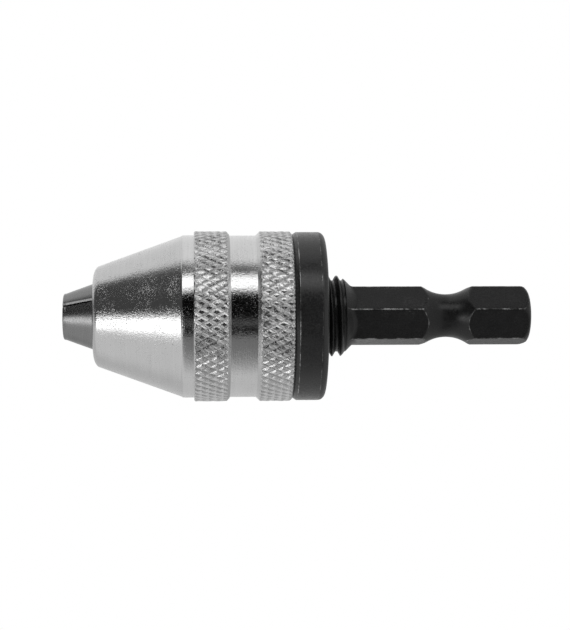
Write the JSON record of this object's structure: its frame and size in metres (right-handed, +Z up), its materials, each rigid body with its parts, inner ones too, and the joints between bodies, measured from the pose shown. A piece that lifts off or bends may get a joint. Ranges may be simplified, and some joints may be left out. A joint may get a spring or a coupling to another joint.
{
  "type": "drill chuck",
  "caption": "Keyless drill chuck with a knurled plated sleeve, tapered jaws, a black rear collar and a hexagonal driver shank.",
  "frame": {"origin": "centre of the free end of the hexagonal shank", "axes": "+X along the chuck's axis from the nose to the shank's free end, so the body lies on the -X side; +Z up; +Y away from the viewer when the nose points left"},
  "size_m": [0.0547, 0.02, 0.02],
  "materials": {
    "nickel_plate": "satin nickel plate with fine turning lines, diamond knurled bands",
    "black_oxide": "black oxide on turned steel, rubbed bright on sharp edges",
    "jaw_steel": "ground hardened steel, satin",
    "bearing_steel": "polished bearing steel",
    "cage_brass": "stamped brass",
    "spring_steel": "drawn spring wire"
  },
  "bodies": {
    "body": {"chuck_body": "black_oxide", "rear_collar": "black_oxide", "hex_adapter": "black_oxide", "rear_race": "bearing_steel"},
    "ball_set": {"ball_cage": "cage_brass", "ball_1": "bearing_steel", "ball_2": "bearing_steel", "ball_3": "bearing_steel", "ball_4": "bearing_steel", "ball_5": "bearing_steel", "ball_6": "bearing_steel", "ball_7": "bearing_steel", "ball_8": "bearing_steel", "ball_9": "bearing_steel", "ball_10": "bearing_steel", "ball_11": "bearing_steel", "ball_12": "bearing_steel"},
    "carrier": {"jaw_carrier": "jaw_steel", "front_race": "bearing_steel"},
    "sleeve": {"sleeve": "nickel_plate", "retaining_ring": "spring_steel"},
    "jaw_1": {"jaw_1": "jaw_steel", "jaw_spring_1": "spring_steel"},
    "jaw_2": {"jaw_2": "jaw_steel", "jaw_spring_2": "spring_steel"},
    "jaw_3": {"jaw_3": "jaw_steel", "jaw_spring_3": "spring_steel"}
  },
  "joints": [
    {"name": "sleeve_turn", "type": "hinge", "parent": "body", "child": "carrier", "pos_m": [-0.0421, 0, 0], "axis": [-1, 0, 0], "range_deg": [-14, 1533]},
    {"name": "ball_roll", "type": "hinge", "parent": "body", "child": "ball_set", "pos_m": [-0.03955, 0, 0], "axis": [-1, 0, 0], "range_deg": [-7.1, 766.6]},
    {"name": "sleeve_advance", "type": "slide", "parent": "carrier", "child": "sleeve", "axis": [-1, 0, 0], "range_m": [-0.00004, 0.00426]},
    {"name": "jaw_1_slide", "type": "slide", "parent": "carrier", "child": "jaw_1", "axis": [0, 0, 1], "range_m": [-0.00002, 0.00155], "deforming": ["jaw_spring_1"]},
    {"name": "jaw_2_slide", "type": "slide", "parent": "carrier", "child": "jaw_2", "axis": [0, 0.866, -0.5], "range_m": [-0.00002, 0.00155], "deforming": ["jaw_spring_2"]},
    {"name": "jaw_3_slide", "type": "slide", "parent": "carrier", "child": "jaw_3", "axis": [0, -0.866, -0.5], "range_m": [-0.00002, 0.00155], "deforming": ["jaw_spring_3"]}
  ],
  "couplings": [
    {"joint": "ball_roll", "follows": "sleeve_turn", "ratio": 0.5},
    {"joint": "sleeve_advance", "follows": "sleeve_turn", "m_per_rad": 0.00015915},
    {"joint": "jaw_1_slide", "follows": "sleeve_turn", "m_per_rad": 0.000057928},
    {"joint": "jaw_2_slide", "follows": "sleeve_turn", "m_per_rad": 0.000057928},
    {"joint": "jaw_3_slide", "follows": "sleeve_turn", "m_per_rad": 0.000057928}
  ]
}
